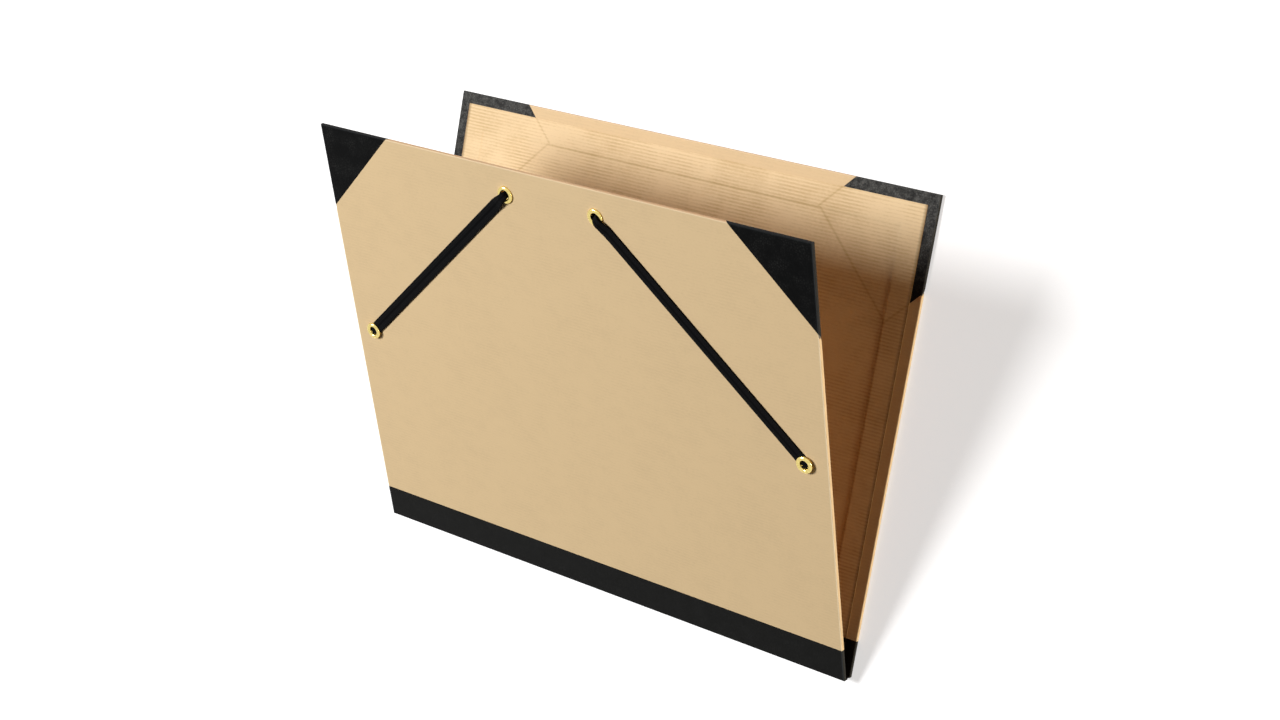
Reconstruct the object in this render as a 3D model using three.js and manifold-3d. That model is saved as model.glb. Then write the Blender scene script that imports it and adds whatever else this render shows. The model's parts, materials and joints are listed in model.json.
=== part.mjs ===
// Elastic art portfolio: two kraft-covered boards joined by a cloth spine, with cloth corners and an
// elastic strap held by four brass eyelets. It lies on its back cover with the front cover part open.
// Millimetres. Each cover is built flat in its own frame: x along the spine, y up the cover from its
// foot at the spine, z in from its outer face. The whole part then lies with +Z up.
// Left and right are as seen by someone who faces the front cover with the spine at the bottom.
import * as THREE from "three";
import { mergeVertices } from "three/addons/utils/BufferGeometryUtils.js";
import Module from "manifold-3d";

// Covers
const coverLength = 330; // along the spine
const coverHeight = 260; // from the spine's foot to the fore-edge
const boardThickness = 1.5;
const skinThickness = 0.2; // kraft paper and cloth round the outside
const liningThickness = 0.2;
const glueLine = 0.05;
const seamGap = 0.1; // between two sheets that meet edge to edge
const turnIn = 20; // how far the skins are folded in over the board's inner face
const liningMargin = 6.5;

// Cloth
const spineClothHeight = 20; // up each cover
const cornerLeg = 50;

// Hinge
const openAngle = 25;
const closedGap = 2; // between the two inner faces when the portfolio is shut
const hingeBeyondFoot = 1.5;

// Eyelets
const boreRadius = 2.5;
const barrelWall = 0.4;
const flangeRadius = 4.9;
const flangeHeight = 1.15;
const rollRadius = 4.2;
const rollHeight = 0.5;
const barrelClearance = 0.05;
const lowerEyeletFromSide = 14;
const lowerEyeletHeight = 132.5; // up the cover from its foot
const upperEyeletSpacing = 61;
const upperEyeletFromTop = 15.5;

// Elastic
const elasticWidth = 7;
const elasticThickness = 1;
const insideRunThickness = 0.9;
const elasticTail = 3.3; // past the lower eyelet's centre, hidden by its flange
const elasticClearance = 0.06;

// Levels through a cover, from its outer face inwards
const boardOuter = skinThickness + glueLine;
const boardInner = boardOuter + boardThickness;
const turnInTop = boardInner + glueLine + skinThickness;
const liningBase = turnInTop + glueLine;
const coverThickness = liningBase + liningThickness;
const closedThickness = 2 * coverThickness + closedGap;
const opening = THREE.MathUtils.degToRad(openAngle);

const kraft = new THREE.MeshStandardMaterial({ color: 0xd7b98c, roughness: 0.85, metalness: 0 });
const lining = new THREE.MeshStandardMaterial({ color: 0xe0c193, roughness: 0.9, metalness: 0 });
const cloth = new THREE.MeshStandardMaterial({ color: 0x1c1c1b, roughness: 0.7, metalness: 0 });
const greyboard = new THREE.MeshStandardMaterial({ color: 0x8f887c, roughness: 0.95, metalness: 0 });
const brass = new THREE.MeshStandardMaterial({ color: 0xd9b04a, roughness: 0.25, metalness: 1 });
const webbing = new THREE.MeshStandardMaterial({ color: 0x101012, roughness: 0.8, metalness: 0 });

const wasm = await Module();
wasm.setup();

function solidOf(geometry) {
  const bare = geometry.clone();
  bare.deleteAttribute("normal");
  bare.deleteAttribute("uv");
  const welded = mergeVertices(bare, 1e-4);
  return new wasm.Manifold(
    new wasm.Mesh({
      numProp: 3,
      vertProperties: new Float32Array(welded.attributes.position.array),
      triVerts: new Uint32Array(welded.index.array),
    }),
  );
}

function geometryOf(solid) {
  const mesh = solid.getMesh();
  const positions = new Float32Array(mesh.numVert * 3);
  for (let i = 0; i < mesh.numVert; i++) {
    const start = i * mesh.numProp;
    positions.set(mesh.vertProperties.subarray(start, start + 3), i * 3);
  }
  const geometry = new THREE.BufferGeometry();
  geometry.setAttribute("position", new THREE.BufferAttribute(positions, 3));
  geometry.setIndex(new THREE.BufferAttribute(new Uint32Array(mesh.triVerts), 1));
  geometry.computeVertexNormals();
  return geometry;
}

// A block between two opposite corners.
function block(low, high) {
  const size = high.map((h, i) => h - low[i]);
  const centre = high.map((h, i) => (h + low[i]) / 2);
  return solidOf(new THREE.BoxGeometry(...size).translate(...centre));
}

// A flat plate with a drawn outline, between two levels.
function plate(outline, low, high) {
  const shape = new THREE.Shape(outline.map(([x, y]) => new THREE.Vector2(x, y)));
  const geometry = new THREE.ExtrudeGeometry(shape, { depth: high - low, bevelEnabled: false });
  return solidOf(geometry.translate(0, 0, low));
}

// A round hole's tool, straight through a cover.
function holeTool(at, radius) {
  const tool = new THREE.CylinderGeometry(radius, radius, 4 * coverThickness, 32);
  return solidOf(tool.rotateX(Math.PI / 2).translate(at.x, at.y, 0));
}

const half = coverLength / 2;

// Where the eyelets go, on the left and on the right.
const lowerEyelet = (side) => new THREE.Vector2(side * (half - lowerEyeletFromSide), lowerEyeletHeight);
const upperEyelet = (side) =>
  new THREE.Vector2((side * upperEyeletSpacing) / 2, coverHeight - upperEyeletFromTop);
const barrelRadius = boreRadius + barrelWall;
const frontHoles = [1, -1]
  .flatMap((side) => [lowerEyelet(side), upperEyelet(side)])
  .map((at) => holeTool(at, barrelRadius + barrelClearance));

// The skin wrapped round a board: outer face, three edges and foot, and the folded-in margin.
function wrappedSkin() {
  const whole = block([-half, 0, 0], [half, coverHeight, turnInTop]);
  const inset = skinThickness;
  const board = block(
    [inset - half, -1, skinThickness],
    [half - inset, coverHeight - inset, turnInTop - skinThickness],
  );
  const window = block(
    [turnIn - half, -1, skinThickness],
    [half - turnIn, coverHeight - turnIn, turnInTop + 1],
  );
  return whole.subtract(board).subtract(window);
}

// The part of a cover that a corner's cloth takes: a triangle outside, and where the cloth's cut
// edge goes on past each fold, a strip inside whose end slants the other way.
function cornerRegion(side, growth) {
  const leg = cornerLeg + growth * Math.SQRT2;
  const reach = turnIn + 1;
  const outer = [[-1, -1], [leg + 1, -1], [-1, leg + 1]];
  const inner = [[-1, -1], [leg - 1, -1], [leg + reach, reach], [reach, leg + reach], [-1, leg - 1]];
  const place = ([x, y]) => [side * (half - x), coverHeight - y];
  const middle = turnInTop / 2;
  return plate(outer.map(place), -1, middle).add(plate(inner.map(place), middle, turnInTop + 1));
}

const spineRegion = (growth) =>
  block([-half - 1, -1, -1], [half + 1, spineClothHeight + growth, turnInTop + 1]);

function coverBoard() {
  const inset = boardOuter;
  return block([inset - half, inset, boardOuter], [half - inset, coverHeight - inset, boardInner]);
}

function cornerCloth(side) {
  return wrappedSkin().intersect(cornerRegion(side, 0));
}

function kraftWrap() {
  return wrappedSkin()
    .subtract(cornerRegion(1, seamGap))
    .subtract(cornerRegion(-1, seamGap))
    .subtract(spineRegion(seamGap));
}

// The lining lies on the folded-in margin and steps down to the board inside it.
function liningSheet() {
  const foot = spineClothHeight + seamGap;
  const side = half - liningMargin;
  const innerSide = half - turnIn - seamGap;
  const top = coverHeight - turnIn - seamGap;
  const sunkTop = boardInner + glueLine + liningThickness;
  const wall = liningThickness;
  const sheet = block([-side, foot, liningBase], [side, coverHeight - liningMargin, coverThickness]);
  const step = block([-innerSide, foot, boardInner + glueLine], [innerSide, top, coverThickness]);
  const hollow = block(
    [wall - innerSide, foot - 1, sunkTop],
    [innerSide - wall, top - wall, coverThickness + 1],
  );
  return sheet.add(step).subtract(hollow);
}

// Half of a ring's rounded top, from its outer edge to the bore, as radius and height pairs.
function roundedRing(outerRadius, height, steps) {
  const middle = (outerRadius + boreRadius) / 2;
  const reach = (outerRadius - boreRadius) / 2;
  return Array.from({ length: steps + 1 }, (_, i) => {
    const turn = (Math.PI * i) / steps;
    return [middle + reach * Math.cos(turn), height * Math.sin(turn)];
  });
}

// An eyelet whose flange sits on the given level outside the cover and whose far end is rolled
// over on the lining.
function eyelet(flangeSeat) {
  const rollSeat = coverThickness + glueLine;
  const flange = roundedRing(flangeRadius, flangeHeight, 10).map(([r, h]) => [r, flangeSeat - h]);
  const roll = roundedRing(rollRadius, rollHeight, 6).map(([r, h]) => [r, rollSeat + h]);
  const profile = [...flange, ...roll.reverse(), [barrelRadius, rollSeat], [barrelRadius, flangeSeat]];
  const points = [...profile, profile[0]].map(([r, level]) => new THREE.Vector2(r, -level));
  return new THREE.LatheGeometry(points, 32).rotateX(-Math.PI / 2);
}

const upperSeat = -glueLine;
const lowerSeat = -(glueLine + elasticThickness + elasticClearance);

// One half of the elastic's route, from its riveted end to the middle of its run inside. Each entry
// is the distance from the upper eyelet's axis, the level, the section's half width and half
// thickness, and how far the strap has turned from its slant on the front (0) to the spine's
// direction (1).
function elasticHalf(side) {
  const lower = lowerEyelet(side);
  const upper = upperEyelet(side);
  const slant = upper.clone().sub(lower).normalize();
  const slantLength = upper.distanceTo(lower);
  const slantAcross = new THREE.Vector3(-slant.y, slant.x, 0);
  const flat = elasticThickness / 2;
  const onFront = -(glueLine + flat);
  const overFlange = upperSeat - flangeHeight - elasticClearance;
  const inside = coverThickness + elasticClearance + insideRunThickness / 2;
  const overRoll = coverThickness + glueLine + rollHeight + elasticClearance;
  const wide = elasticWidth / 2;
  const front = [
    [slantLength + elasticTail, onFront, wide, flat],
    [slantLength - flangeRadius, onFront, wide, flat],
    [60, onFront, wide, flat],
    [16, onFront, wide, flat],
    [10, onFront - 0.15, wide, flat],
    [7.4, onFront - 0.75, 3.2, flat],
    [5.4, overFlange - 0.35, 2.9, 0.6],
    [3.7, overFlange - 0.78, 2.6, 0.72],
    [2.2, overFlange - 0.6, 2.35, 0.85],
    [0.9, overFlange + 0.1, 2.2, 0.9],
    [0.2, overFlange + 1.2, 2, 0.9],
  ];
  const stations = front.map(([distance, level, w, t]) => ({
    centre: new THREE.Vector3(
      upper.x - slant.x * distance, upper.y - slant.y * distance, level),
    across: slantAcross,
    w,
    t,
  }));
  const straightAcross = new THREE.Vector3(0, Math.sign(slantAcross.y), 0);
  [0.35, 0.7, 1].forEach((turn) => {
    stations.push({
      centre: new THREE.Vector3(upper.x, upper.y, overFlange + 1.2 + turn * (overRoll - overFlange - 2)),
      across: slantAcross.clone().lerp(straightAcross, turn).normalize(),
      w: 2,
      t: 0.9,
    });
  });
  const back = [
    [0.5, overRoll + 0.05, 2.1, 0.75],
    [1.7, overRoll + 0.42, 2.4, 0.55],
    [3.4, overRoll + 0.46, 2.8, 0.45],
    [5.2, inside + 0.2, 3.2, insideRunThickness / 2],
    [8, inside, wide, insideRunThickness / 2],
    [upperEyeletSpacing / 2, inside, wide, insideRunThickness / 2],
  ];
  back.forEach(([distance, level, w, t]) => {
    stations.push({
      centre: new THREE.Vector3(upper.x - side * distance, upper.y, level),
      across: straightAcross,
      w,
      t,
    });
  });
  return stations;
}

// The elastic is a row of rounded-rectangle sections joined up, with a cap on each end.
function elasticGeometry() {
  const left = elasticHalf(1);
  const right = elasticHalf(-1).reverse().slice(1);
  right.forEach((s) => (s.across = s.across.clone().negate()));
  const stations = [...left, ...right];
  const around = 16;
  const positions = [];
  stations.forEach((s, i) => {
    const before = stations[Math.max(i - 1, 0)].centre;
    const after = stations[Math.min(i + 1, stations.length - 1)].centre;
    const along = after.clone().sub(before).normalize();
    const outward = along.clone().cross(s.across).normalize();
    for (let k = 0; k < around; k++) {
      const turn = (2 * Math.PI * (k + 0.5)) / around;
      const round = (v) => Math.sign(v) * Math.pow(Math.abs(v), 0.5);
      const p = s.centre
        .clone()
        .addScaledVector(s.across, s.w * round(Math.cos(turn)))
        .addScaledVector(outward, s.t * round(Math.sin(turn)));
      positions.push(p.x, p.y, p.z);
    }
  });
  const faces = [];
  const last = stations.length - 1;
  for (let i = 0; i < last; i++)
    for (let k = 0; k < around; k++) {
      const next = (k + 1) % around;
      const [a, b, c, d] = [i * around + k, i * around + next, (i + 1) * around + k, (i + 1) * around + next];
      faces.push(a, b, d, a, d, c);
    }
  for (let k = 1; k < around - 1; k++) {
    faces.push(0, k + 1, k);
    faces.push(last * around, last * around + k, last * around + k + 1);
  }
  const geometry = new THREE.BufferGeometry();
  geometry.setAttribute("position", new THREE.BufferAttribute(new Float32Array(positions), 3));
  geometry.setIndex(faces);
  return geometry;
}

function elasticSolid() {
  const whole = solidOf(elasticGeometry());
  return [1, -1]
    .map((side) => holeTool(lowerEyelet(side), barrelRadius + barrelClearance))
    .reduce((strap, hole) => strap.subtract(hole), whole);
}

// Frames: the back cover lies face down on the ground, and the front cover hangs on the hinge.
const portfolio = new THREE.Group();
const lying = new THREE.Group();
lying.position.y = coverHeight / 2;
portfolio.add(lying);

const backCover = new THREE.Group();
backCover.rotation.z = Math.PI;
lying.add(backCover);

const frontHinge = new THREE.Group();
frontHinge.position.set(0, hingeBeyondFoot, closedThickness / 2);
frontHinge.rotation.x = -opening;
lying.add(frontHinge);

const frontCover = new THREE.Group();
frontCover.rotation.x = Math.PI;
frontCover.position.set(0, -hingeBeyondFoot, closedThickness / 2);
frontHinge.add(frontCover);

portfolio.updateMatrixWorld(true);
const lyingInverse = lying.matrixWorld.clone().invert();
const placeOf = (cover) => lyingInverse.clone().multiply(cover.matrixWorld);
const frontPlace = placeOf(frontCover);
const backPlace = placeOf(backCover);

// A point of a cover's foot, seen from its end: height up the cover and level through it.
const footPoint = (place, height, level) => {
  const p = new THREE.Vector3(0, height, level).applyMatrix4(place);
  return [p.y, p.z];
};

// A sheet with a drawn section, run along the spine.
function alongSpine(section, length) {
  const shape = new THREE.Shape(section.map(([y, z]) => new THREE.Vector2(y, z)));
  const geometry = new THREE.ExtrudeGeometry(shape, { depth: length, bevelEnabled: false });
  const turn = new THREE.Matrix4().makeBasis(
    new THREE.Vector3(0, 1, 0),
    new THREE.Vector3(0, 0, 1),
    new THREE.Vector3(1, 0, 0),
  );
  return solidOf(geometry.applyMatrix4(turn).translate(-length / 2, 0, 0));
}

const placed = (solid, place) => solidOf(geometryOf(solid).applyMatrix4(place));

// The web that crosses from one cover's sheet to the other's at the foot, buried a little in both.
function crossing(level, thickness, length) {
  const bury = 0.1 * thickness;
  const near = level + bury;
  const far = level + thickness - bury;
  const root = thickness / 2;
  return alongSpine(
    [
      footPoint(backPlace, root, near),
      footPoint(backPlace, bury, near),
      footPoint(frontPlace, bury, near),
      footPoint(frontPlace, root, near),
      footPoint(frontPlace, root, far),
      footPoint(frontPlace, thickness, far),
      footPoint(backPlace, thickness, far),
      footPoint(backPlace, root, far),
    ],
    length,
  );
}

// The outer cloth goes up both covers, round their side edges and across the foot.
function spineCloth() {
  const legs = wrappedSkin().intersect(spineRegion(0));
  return placed(legs, backPlace).add(placed(legs, frontPlace)).add(crossing(0, skinThickness, coverLength));
}

// The inner cloth lines the fold, level with the linings.
function innerHingeCloth() {
  const side = half - liningMargin;
  const leg = block([-side, glueLine, liningBase], [side, spineClothHeight, coverThickness]);
  return placed(leg, backPlace)
    .add(placed(leg, frontPlace))
    .add(crossing(liningBase, liningThickness, 2 * side));
}

function addMesh(group, name, geometry, material) {
  const mesh = new THREE.Mesh(geometry, material);
  mesh.name = name;
  group.add(mesh);
  return mesh;
}

function addCover(group, prefix, leftSide, holes) {
  const pierced = (solid) => geometryOf(holes.reduce((rest, hole) => rest.subtract(hole), solid));
  addMesh(group, `${prefix}_board`, pierced(coverBoard()), greyboard);
  addMesh(group, `${prefix}_kraft_wrap`, pierced(kraftWrap()), kraft);
  addMesh(group, `${prefix}_lining`, pierced(liningSheet()), lining);
  addMesh(group, `${prefix}_left_corner`, geometryOf(cornerCloth(leftSide)), cloth);
  addMesh(group, `${prefix}_right_corner`, geometryOf(cornerCloth(-leftSide)), cloth);
}

addCover(backCover, "back", -1, []);
addCover(frontCover, "front", 1, frontHoles);

[
  ["left", 1],
  ["right", -1],
].forEach(([name, side]) => {
  const lower = addMesh(frontCover, `lower_${name}_eyelet`, eyelet(lowerSeat), brass);
  lower.position.set(...lowerEyelet(side).toArray(), 0);
  const upper = addMesh(frontCover, `upper_${name}_eyelet`, eyelet(upperSeat), brass);
  upper.position.set(...upperEyelet(side).toArray(), 0);
});

addMesh(frontCover, "elastic", geometryOf(elasticSolid()), webbing);
addMesh(lying, "spine_cloth", geometryOf(spineCloth()), cloth);
addMesh(lying, "inner_hinge_cloth", geometryOf(innerHingeCloth()), cloth);

export default portfolio;
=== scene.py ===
"""Elastic art portfolio: the finished surfaces round the packed model, laid out as an add-on.

Each cover is worked out flat in its own frame, as the packed model is: x along the spine, y up the
cover from its foot, z in from the outer face. A sheet is drawn as a flat net and then folded round
the cover's edges. Metres throughout.
"""

import json
import math

import bpy
import numpy as np
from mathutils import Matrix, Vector


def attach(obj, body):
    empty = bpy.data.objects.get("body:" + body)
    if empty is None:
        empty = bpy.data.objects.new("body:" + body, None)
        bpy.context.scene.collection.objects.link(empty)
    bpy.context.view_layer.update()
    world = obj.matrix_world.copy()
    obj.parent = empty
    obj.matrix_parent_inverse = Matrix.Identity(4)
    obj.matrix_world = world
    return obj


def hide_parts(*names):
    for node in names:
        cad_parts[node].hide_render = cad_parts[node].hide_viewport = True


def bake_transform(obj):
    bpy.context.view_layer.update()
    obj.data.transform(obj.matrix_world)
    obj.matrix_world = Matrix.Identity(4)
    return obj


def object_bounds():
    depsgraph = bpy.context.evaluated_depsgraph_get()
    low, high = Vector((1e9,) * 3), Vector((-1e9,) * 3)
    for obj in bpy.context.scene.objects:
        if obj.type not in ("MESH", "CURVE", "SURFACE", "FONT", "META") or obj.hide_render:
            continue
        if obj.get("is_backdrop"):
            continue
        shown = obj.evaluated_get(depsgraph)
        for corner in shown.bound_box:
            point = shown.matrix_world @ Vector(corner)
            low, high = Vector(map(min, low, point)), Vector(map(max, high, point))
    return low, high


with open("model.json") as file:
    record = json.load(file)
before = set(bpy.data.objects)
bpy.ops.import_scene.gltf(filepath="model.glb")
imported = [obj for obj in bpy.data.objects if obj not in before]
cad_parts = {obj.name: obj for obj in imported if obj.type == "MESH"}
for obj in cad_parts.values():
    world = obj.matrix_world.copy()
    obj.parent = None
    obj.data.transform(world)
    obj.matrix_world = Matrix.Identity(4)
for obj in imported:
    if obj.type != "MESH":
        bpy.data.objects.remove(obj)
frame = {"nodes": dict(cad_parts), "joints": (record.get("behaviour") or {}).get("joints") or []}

bl_info = {
    "name": "Elastic art portfolio",
    "version": (1, 0, 0),
    "blender": (4, 5, 0),
    "location": "View3D > Sidebar > Portfolio",
    "description": "Kraft, lining, cloth, eyelets and elastic of an art portfolio",
    "category": "Object",
}

CAD_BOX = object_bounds()
MM = 0.001
WELD = 1e-7
SMALLEST_FACE = 1e-12
BY_BEND = 0.4 * MM  # a narrow row beside each bend, then wider ones out to the second distance
BESIDE = 1.2 * MM
HOLE_SLACK = 0.2 * MM
CRISP = math.radians(40)
OPEN_ANGLE = math.radians(25)
HINGE = np.array(frame["joints"][0]["pos_m"])
SIDES = {"left": 1, "right": -1}


# ---------------------------------------------------------------- properties


def length(name, description, default):
    return bpy.props.FloatProperty(
        name=name, description=description, default=default, precision=5, unit="LENGTH"
    )


def colour(name, description, default):
    return bpy.props.FloatVectorProperty(
        name=name, description=description, default=default, size=3, min=0, max=1, subtype="COLOR"
    )


class PORTFOLIO_PG_cover(bpy.types.PropertyGroup):
    """Sizes of a covered board."""

    half_length: length("Half length", "From the middle of the spine to a side edge", 0.165)
    height: length("Height", "From the foot to the fore-edge", 0.260)
    depth: length("Depth", "From the outer face to the folded-in margin", 0.0020)
    fold_radius: length("Fold radius", "Outer radius of a sheet folded round the board", 0.00037)
    turn_in: length("Turn-in", "How far a sheet is folded in", 0.020)
    paper: length("Paper", "Thickness of the kraft and lining papers", 0.0002)
    corner_leg: length("Corner leg", "Side of the corner cloth's triangle", 0.050)
    seam: length("Seam", "Gap between two sheets that meet", 0.00008)
    rib_pitch: length("Rib pitch", "From one rib of the paper to the next", 0.0019)
    rib_height: length("Rib height", "Relief of the lining's ribs", 0.000045)


class PORTFOLIO_PG_lining(bpy.types.PropertyGroup):
    """Sizes of the lining papers."""

    margin: length("Margin", "From the cover's edge to the lining's edge", 0.0065)
    level: length("Level", "Top of the lining where it lies on the margin", 0.00225)
    sink: length("Sink", "How far it steps down inside the margin", 0.00022)
    step: length("Step", "Width over which it steps down", 0.0012)


class PORTFOLIO_PG_cloth(bpy.types.PropertyGroup):
    """Sizes of the cloth at the spine."""

    height: length("Height", "How far the spine cloth goes up each cover", 0.020)
    thickness: length("Thickness", "Thickness of the cloth", 0.0002)
    web_fold: length("Web fold", "Height of the cloth's fold at the ends of the web", 0.0006)


class PORTFOLIO_PG_eyelet(bpy.types.PropertyGroup):
    """Sizes and places of the eyelets."""

    bore: length("Bore", "Radius of the bore", 0.0025)
    barrel: length("Barrel", "Outer radius of the barrel", 0.0029)
    flange: length("Flange", "Outer radius of the domed flange", 0.0049)
    flange_height: length("Flange height", "Height of the dome", 0.00115)
    roll: length("Roll", "Outer radius of the rolled end", 0.0042)
    roll_height: length("Roll height", "Height of the rolled end", 0.0005)
    lower_x: length("Lower across", "Lower eyelets from the middle", 0.151)
    lower_y: length("Lower height", "Lower eyelets from the foot", 0.1325)
    upper_x: length("Upper across", "Upper eyelets from the middle", 0.0305)
    upper_y: length("Upper height", "Upper eyelets from the foot", 0.2445)
    upper_seat: length("Upper seat", "Level under the upper flanges", -0.00005)
    lower_seat: length("Lower seat", "Level under the lower flanges, on the strap", -0.00111)


class PORTFOLIO_PG_elastic(bpy.types.PropertyGroup):
    """Sizes of the woven elastic."""

    ribs: bpy.props.IntProperty(name="Ribs", description="Cords side by side", default=7, min=2)
    rib_height: length("Rib height", "Relief of the cords", 0.00013)
    braid_pitch: length("Braid pitch", "Length of one crossing of the braid", 0.0016)
    braid_height: length("Braid height", "Relief of the crossings", 0.00007)
    step: length("Step", "Distance between sections", 0.0004)


class PORTFOLIO_PG_finish(bpy.types.PropertyGroup):
    """Colours of the papers, cloth, metal and webbing."""

    kraft: colour("Kraft", "Outer paper", (0.738, 0.545, 0.308))
    # Also the painted shade in the grooves between the kraft's ribs
    kraft_dark: colour("Kraft fibre", "Darker fibres of the outer paper", (0.60, 0.44, 0.25))
    # Painted highlight: a light cream along the kraft's folds, standing in for light on the edges
    kraft_edge: colour("Kraft edge", "Painted highlight of the paper at a fold", (0.97, 0.84, 0.60))
    lining: colour("Lining", "Ribbed paper", (0.84, 0.64, 0.375))
    # Darker lining tone for fibres and clouds, and the painted shade between the ribs and along the
    # creases
    lining_dark: colour("Lining groove", "Between the ribs", (0.58, 0.40, 0.185))
    lining_edge: colour("Lining edge", "Cut edge of the ribbed paper", (0.22, 0.125, 0.045))
    cloth: colour("Spine cloth", "Black bookcloth at the spine", (0.0095, 0.0095, 0.0090))
    corner: colour("Corner cloth", "Black bookcloth at the corners", (0.0028, 0.0029, 0.0030))
    # Painted sheen: a grey far lighter than the corner cloth, standing in for the lamp's gloss on the
    # turned-in cloth
    inner: colour("Painted cloth sheen", "Painted sheen of the corner cloth's inner face", (0.085, 0.086, 0.082))
    # Painted highlight: a bluish grey along the cloth's folds
    cloth_fold: colour("Cloth fold", "Painted highlight of the cloth at a fold", (0.050, 0.056, 0.060))
    cloth_light: colour("Cloth grain", "Raised grain of the cloth", (0.016, 0.016, 0.0155))
    brass: colour("Brass", "Eyelets", (0.84, 0.68, 0.25))
    webbing: colour("Webbing", "Elastic", (0.0032, 0.0032, 0.0035))
    webbing_light: colour("Webbing cords", "Crests of the elastic's cords", (0.022, 0.022, 0.023))
    board: colour("Board", "Grey board", (0.27, 0.25, 0.22))
    floor: colour("Floor", "Table and background", (0.62, 0.62, 0.62))


# ---------------------------------------------------------------- frames of the covers


def on_back(points):
    """Back cover's frame to the row frame: half a turn about the upright axis, foot at the far
    side."""
    x, y, z = np.moveaxis(points, -1, 0)
    return np.stack([-x, cover().height / 2 - y, z], -1)


def on_front(points):
    """Front cover's frame to the row frame: turned over onto the hinge line and opened by the
    angle."""
    x, y, z = np.moveaxis(points, -1, 0)
    along = -y - (HINGE[1] - cover().height / 2)
    up = HINGE[2] - z
    cos, sin = math.cos(OPEN_ANGLE), math.sin(OPEN_ANGLE)
    return np.stack([x, along * cos + up * sin + HINGE[1], -along * sin + up * cos + HINGE[2]], -1)


COVERS = {"back": (on_back, "back_cover", -1), "front": (on_front, "front_cover", 1)}


def cover():
    return bpy.context.scene.portfolio_cover


def eyelet_places():
    e = bpy.context.scene.portfolio_eyelet
    return [(s * x, y) for s in (1, -1) for x, y in ((e.lower_x, e.lower_y), (e.upper_x, e.upper_y))]


# ---------------------------------------------------------------- surfaces


def samples(*spans):
    """Ascending positions: each span is start, end and the number of steps between them."""
    parts = [np.linspace(a, b, n + 1) for a, b, n in spans]
    together = np.sort(np.concatenate(parts))
    return together[np.concatenate([[True], np.diff(together) > WELD])]


def fold_marks(edge, depth, radius, turn_in):
    """Along a flat sheet: where the first bend starts and ends, where the second starts and ends, and
    where the turn-in ends."""
    bend = math.pi * radius / 2
    first = edge - radius
    second = first + bend + depth - 2 * radius
    return first, first + bend, second, second + bend, second + bend + turn_in - radius


def folded(s, edge, depth, radius):
    """Wraps a flat sheet round a slab: straight, a quarter circle, the wall, a quarter circle, and
    back. Returns the position along the face and the level."""
    first, wall, second, inner, _ = fold_marks(edge, depth, radius, 0)
    sign, s = np.sign(s), np.abs(s)
    one = np.clip((s - first) / radius, 0, math.pi / 2)
    two = np.clip((s - second) / radius, 0, math.pi / 2)
    turn = one + two
    along = np.minimum(s, first) + radius * np.sin(turn) - np.maximum(s - inner, 0)
    level = radius * (1 - np.cos(turn)) + np.clip(s - wall, 0, depth - 2 * radius)
    return sign * along, level


def sheet_on_cover(p, q, c):
    """The folded place of each point of a flat net. Where both folds apply, the deeper level
    counts, so that two walls meet in a mitre."""
    x, z_side = folded(p, c.half_length, c.depth, c.fold_radius)
    y, z_top = folded(q, c.height, c.depth, c.fold_radius)
    return np.stack([x, y, np.maximum(z_side, z_top)], -1)


def opened(points, holes, radius):
    """Pushes what lies inside a round hole out to its rim, and says which points were inside."""
    inside = np.zeros(points.shape[:2], bool)
    for x, y in holes:
        away = points[..., :2] - np.array([x, y])
        far = np.linalg.norm(away, axis=-1)
        near = far < radius
        push = away / np.maximum(far, 1e-9)[..., None] * radius + np.array([x, y])
        points[..., :2] = np.where(near[..., None], push, points[..., :2])
        inside |= near
    return points, inside


def grid_object(name, points, uv, marks=None, dropped=None, flip=False, closed=(False, False)):
    """A mesh from a grid of points. Points that coincide are welded, and faces without area are
    left out. Marks are values kept on the points; dropped points lose their faces."""
    rows, cols = points.shape[:2]
    index = np.arange(rows * cols).reshape(rows, cols)
    if closed[0]:
        index = np.concatenate([index, index[:1]], 0)
    if closed[1]:
        index = np.concatenate([index, index[:, :1]], 1)
    quads = np.stack([index[:-1, :-1], index[:-1, 1:], index[1:, 1:], index[1:, :-1]], -1)
    quads = quads.reshape(-1, 4)
    if flip:
        quads = quads[:, ::-1]
    if dropped is not None:
        quads = quads[~dropped.reshape(-1)[quads].all(1)]
    flat = points.reshape(-1, 3)
    _, first, welded = np.unique(
        np.round(flat / WELD).astype(np.int64), axis=0, return_index=True, return_inverse=True
    )
    welded = welded.reshape(-1)
    ids = welded[quads]
    same = ids == np.roll(ids, -1, axis=1)
    whole = quads[same.sum(1) == 0]
    short = quads[same.sum(1) == 1]
    skip = same[same.sum(1) == 1].argmax(1)[:, None]
    short = np.take_along_axis(short, (skip + np.array([[1, 2, 3]])) % 4, axis=1)
    area = lambda a, b, c, d: np.linalg.norm(np.cross(flat[c] - flat[a], flat[d] - flat[b]), axis=1)
    whole = whole[area(*whole.T) > SMALLEST_FACE]
    short = short[area(short[:, 0], short[:, 1], short[:, 1], short[:, 2]) > SMALLEST_FACE]
    faces = [welded[whole], welded[short]]
    mesh = bpy.data.meshes.new(name)
    mesh.from_pydata(flat[first].tolist(), [], faces[0].tolist() + faces[1].tolist())
    corners = np.concatenate([whole.reshape(-1), short.reshape(-1)])
    layer = mesh.uv_layers.new(name="sheet")
    layer.data.foreach_set("uv", uv.reshape(-1, 2)[corners].astype(np.float32).reshape(-1))
    for key, values in (marks or {}).items():
        attribute = mesh.attributes.new(key, "FLOAT", "POINT")
        attribute.data.foreach_set("value", values.reshape(-1)[first].astype(np.float32))
    mesh.polygons.foreach_set("use_smooth", [True] * len(mesh.polygons))
    mesh.validate()
    mesh.update()
    obj = bpy.data.objects.new(name, mesh)
    bpy.context.scene.collection.objects.link(obj)
    return obj


def finished(obj):
    """Puts the result of an object's modifiers into its mesh."""
    graph = bpy.context.evaluated_depsgraph_get()
    mesh = bpy.data.meshes.new_from_object(obj.evaluated_get(graph))
    obj.modifiers.clear()
    obj.data = mesh
    return obj


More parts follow.
